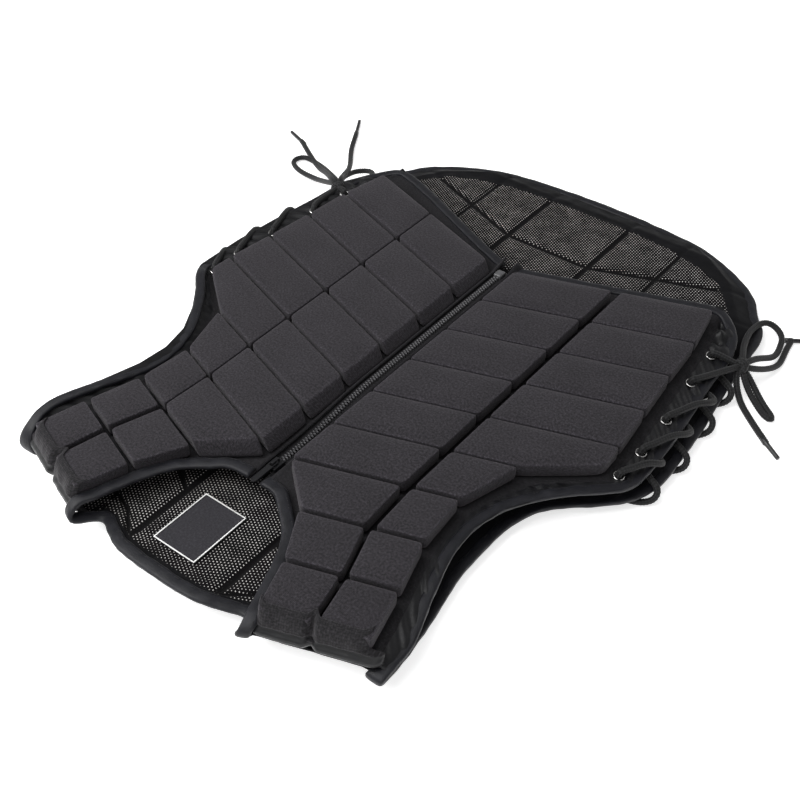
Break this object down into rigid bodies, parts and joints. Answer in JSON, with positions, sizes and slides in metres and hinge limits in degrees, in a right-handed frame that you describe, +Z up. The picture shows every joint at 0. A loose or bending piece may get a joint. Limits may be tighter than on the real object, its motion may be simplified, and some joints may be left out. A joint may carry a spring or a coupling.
{
  "type": "equestrian body protector",
  "caption": "Front-zip equestrian body protector of padded foam blocks with laced sides, lying flat on its back.",
  "frame": {"origin": "On the floor under the middle of the vest, loose bows left out", "axes": "X to the wearer's right, Y from the neck towards the tail, Z up from the floor through the chest"},
  "size_m": [0.7054, 0.6674, 0.048],
  "materials": {
    "cover": "matte woven polyester cover",
    "block": "matte woven polyester over foam",
    "binding": "satin binding tape",
    "lining": "knitted spacer mesh",
    "zip": "moulded plastic zip",
    "zip_metal": "black enamelled die-cast",
    "metal": "bright nickel plate",
    "label": "plain woven label",
    "lace": "round braided polyester"
  },
  "bodies": {
    "vest": {"back_panel": "lining", "right_front_panel": "cover", "left_front_panel": "cover", "right_block_1_inner": "block", "left_block_1_inner": "block", "right_block_1_outer": "block", "left_block_1_outer": "block", "right_block_2_inner": "block", "left_block_2_inner": "block", "right_block_2_outer": "block", "left_block_2_outer": "block", "right_block_3_inner": "block", "left_block_3_inner": "block", "right_block_3_outer": "block", "left_block_3_outer": "block", "right_block_4_inner": "block", "left_block_4_inner": "block", "right_block_4_outer": "block", "left_block_4_outer": "block", "right_block_5_inner": "block", "left_block_5_inner": "block", "right_block_5_outer": "block", "left_block_5_outer": "block", "right_block_6_inner": "block", "left_block_6_inner": "block", "right_block_6_outer": "block", "left_block_6_outer": "block", "right_block_7_inner": "block", "left_block_7_inner": "block", "right_block_7_outer": "block", "left_block_7_outer": "block", "right_block_8_inner": "block", "left_block_8_inner": "block", "right_block_8_outer": "block", "left_block_8_outer": "block", "right_block_9_inner": "block", "left_block_9_inner": "block", "right_block_9_outer": "block", "left_block_9_outer": "block", "neck_binding": "binding", "outer_binding": "binding", "zip_chain": "zip", "zip_slider": "zip_metal", "label": "label", "right_eyelet_1": "metal", "right_eyelet_2": "metal", "right_eyelet_3": "metal", "right_eyelet_4": "metal", "right_eyelet_5": "metal", "left_eyelet_1": "metal", "left_eyelet_2": "metal", "left_eyelet_3": "metal", "left_eyelet_4": "metal", "left_eyelet_5": "metal", "right_lace": "lace", "left_lace": "lace", "bow_right": "lace", "bow_left": "lace"},
    "pull": {"zip_pull": "zip_metal"}
  },
  "joints": [
    {"name": "zip_pull_hinge", "type": "hinge", "parent": "vest", "child": "pull", "pos_m": [0, -0.19126, 0.0349], "axis": [-1, 0, 0], "range_deg": [0, 175]}
  ]
}
